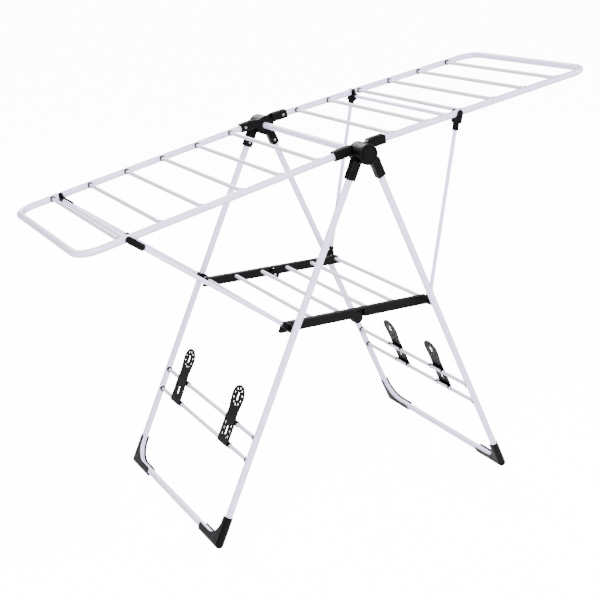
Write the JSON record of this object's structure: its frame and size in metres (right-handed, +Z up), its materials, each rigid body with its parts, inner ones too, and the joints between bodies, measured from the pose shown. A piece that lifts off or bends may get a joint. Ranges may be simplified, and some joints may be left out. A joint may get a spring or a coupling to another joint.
{
  "type": "clothes drying rack",
  "caption": "Folding gull-wing clothes airer with two rod-filled tube wings on side hubs, splayed tube legs, a folding shelf, swing-up wing supports and shoe holders.",
  "frame": {"origin": "on the floor, straight below the hub axis, midway between front and back", "axes": "+X towards the raised wing, +Y along the rods towards the back, +Z up"},
  "size_m": [1.3989, 0.5914, 1.0507],
  "materials": {
    "tube_white": "gloss powder coat",
    "rod_white": "gloss powder coat",
    "black_plastic": "moulded satin",
    "steel": "zinc plated"
  },
  "bodies": {
    "hub": {"hub_cross_tube": "tube_white", "hub_axle": "steel", "hub_cap_front": "black_plastic", "hub_cap_back": "black_plastic"},
    "leg_left": {"leg_left_frame": "tube_white", "leg_left_rods": "rod_white", "leg_left_grommets": "black_plastic", "leg_left_socket_front": "black_plastic", "leg_left_socket_back": "black_plastic", "leg_left_rivets": "steel", "foot_left_front": "black_plastic", "foot_left_back": "black_plastic", "shoe_holder_left_front": "black_plastic", "shoe_holder_left_back": "black_plastic", "shelf_pivot_rod_left": "rod_white"},
    "leg_right": {"leg_right_frame": "tube_white", "leg_right_rods": "rod_white", "leg_right_grommets": "black_plastic", "leg_right_socket_front": "black_plastic", "leg_right_socket_back": "black_plastic", "leg_right_rivets": "steel", "foot_right_front": "black_plastic", "foot_right_back": "black_plastic", "shoe_holder_right_front": "black_plastic", "shoe_holder_right_back": "black_plastic", "support_pins_right": "rod_white"},
    "wing_left": {"wing_left_frame": "tube_white", "wing_left_rods": "rod_white", "wing_left_grommets": "black_plastic", "wing_left_socket_front": "black_plastic", "wing_left_socket_back": "black_plastic", "wing_left_rivets": "steel"},
    "wing_right": {"wing_right_frame": "tube_white", "wing_right_rods": "rod_white", "wing_right_grommets": "black_plastic", "wing_right_socket_front": "black_plastic", "wing_right_socket_back": "black_plastic", "wing_right_rivets": "steel"},
    "support_left": {"support_left_tube_front": "tube_white", "support_left_tube_back": "tube_white", "support_left_crossbar": "tube_white", "support_left_saddle_front": "black_plastic", "support_left_saddle_back": "black_plastic", "support_left_foot_front": "black_plastic", "support_left_foot_back": "black_plastic"},
    "support_right": {"support_right_tube_front": "tube_white", "support_right_tube_back": "tube_white", "support_right_crossbar": "tube_white", "support_right_saddle_front": "black_plastic", "support_right_saddle_back": "black_plastic", "support_right_foot_front": "black_plastic", "support_right_foot_back": "black_plastic"},
    "shelf_left": {"shelf_left_rail_front": "black_plastic", "shelf_left_rail_back": "black_plastic", "shelf_left_rods": "rod_white", "shelf_hinge_pins": "steel"},
    "shelf_right": {"shelf_right_rail_front": "black_plastic", "shelf_right_rail_back": "black_plastic", "shelf_right_rods": "rod_white"}
  },
  "joints": [
    {"name": "leg_left_hinge", "type": "hinge", "parent": "hub", "child": "leg_left", "pos_m": [0, 0, 0.9], "axis": [0, -1, 0], "range_deg": [0, 24]},
    {"name": "leg_right_hinge", "type": "hinge", "parent": "hub", "child": "leg_right", "pos_m": [0, 0, 0.9], "axis": [0, 1, 0], "range_deg": [0, 24]},
    {"name": "wing_left_hinge", "type": "hinge", "parent": "leg_left", "child": "wing_left", "pos_m": [0, 0, 0.9], "axis": [0, 1, 0], "range_deg": [0, 50]},
    {"name": "wing_right_hinge", "type": "hinge", "parent": "leg_right", "child": "wing_right", "pos_m": [0, 0, 0.9], "axis": [0, -1, 0], "range_deg": [0, 26]},
    {"name": "support_left_hinge", "type": "hinge", "parent": "leg_left", "child": "support_left", "pos_m": [-0.19698, 0, 0.5], "axis": [0, 1, 0], "range_deg": [0, 65]},
    {"name": "support_right_hinge", "type": "hinge", "parent": "leg_right", "child": "support_right", "pos_m": [0.19698, 0, 0.5], "axis": [0, -1, 0], "range_deg": [0, 20.8]},
    {"name": "shelf_left_hinge", "type": "hinge", "parent": "leg_left", "child": "shelf_left", "pos_m": [-0.19698, 0, 0.5], "axis": [0, -1, 0], "range_deg": [0, 65.5]},
    {"name": "shelf_fold_hinge", "type": "hinge", "parent": "shelf_left", "child": "shelf_right", "pos_m": [0, 0, 0.4845], "axis": [0, 1, 0], "range_deg": [0, 179]}
  ],
  "couplings": [
    {"joint": "leg_right_hinge", "follows": "leg_left_hinge", "ratio": 1},
    {"joint": "shelf_left_hinge", "follows": "leg_left_hinge", "ratio": 2.7287},
    {"joint": "shelf_fold_hinge", "follows": "leg_left_hinge", "ratio": 7.4574},
    {"joint": "support_left_hinge", "follows": "wing_left_hinge", "ratio": 1.3},
    {"joint": "support_right_hinge", "follows": "wing_right_hinge", "ratio": 0.8}
  ]
}
